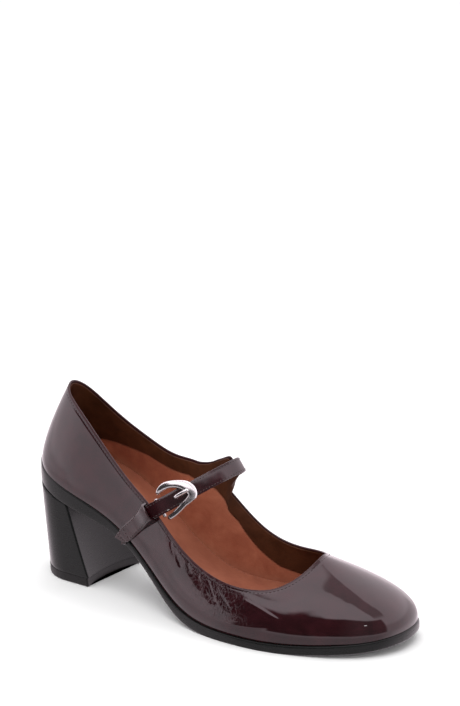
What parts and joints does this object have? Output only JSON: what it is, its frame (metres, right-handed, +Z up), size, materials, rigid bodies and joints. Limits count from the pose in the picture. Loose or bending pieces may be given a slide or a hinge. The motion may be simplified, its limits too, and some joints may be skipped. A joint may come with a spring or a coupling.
{
  "type": "mary jane pump",
  "caption": "Right mary jane pump in wine patent leather with a soft square toe, black block heel and an instep strap fastened by a polished buckle.",
  "frame": {"origin": "centre of the heel's ground face", "axes": "+X to the toe, +Y to the big-toe (inner) side, +Z up"},
  "size_m": [0.2438, 0.0853, 0.1128],
  "materials": {
    "upper": "wine patent leather, high gloss",
    "insole": "brown lining leather, matt",
    "outsole": "black sole, satin edge",
    "heel": "black covered block, satin",
    "top_lift": "black rubber, matt",
    "strap": "wine patent leather, high gloss",
    "side_tab": "wine patent leather, high gloss",
    "chape": "wine patent leather, high gloss",
    "buckle_frame": "polished silver-coloured metal",
    "buckle_bar": "polished silver-coloured metal",
    "buckle_prong": "polished silver-coloured metal"
  },
  "bodies": {
    "root": {"upper": "upper", "insole": "insole", "outsole": "outsole", "heel": "heel", "top_lift": "top_lift", "strap": "strap", "side_tab": "side_tab", "chape": "chape", "buckle_frame": "buckle_frame", "buckle_bar": "buckle_bar", "buckle_prong": "buckle_prong"}
  },
  "joints": []
}
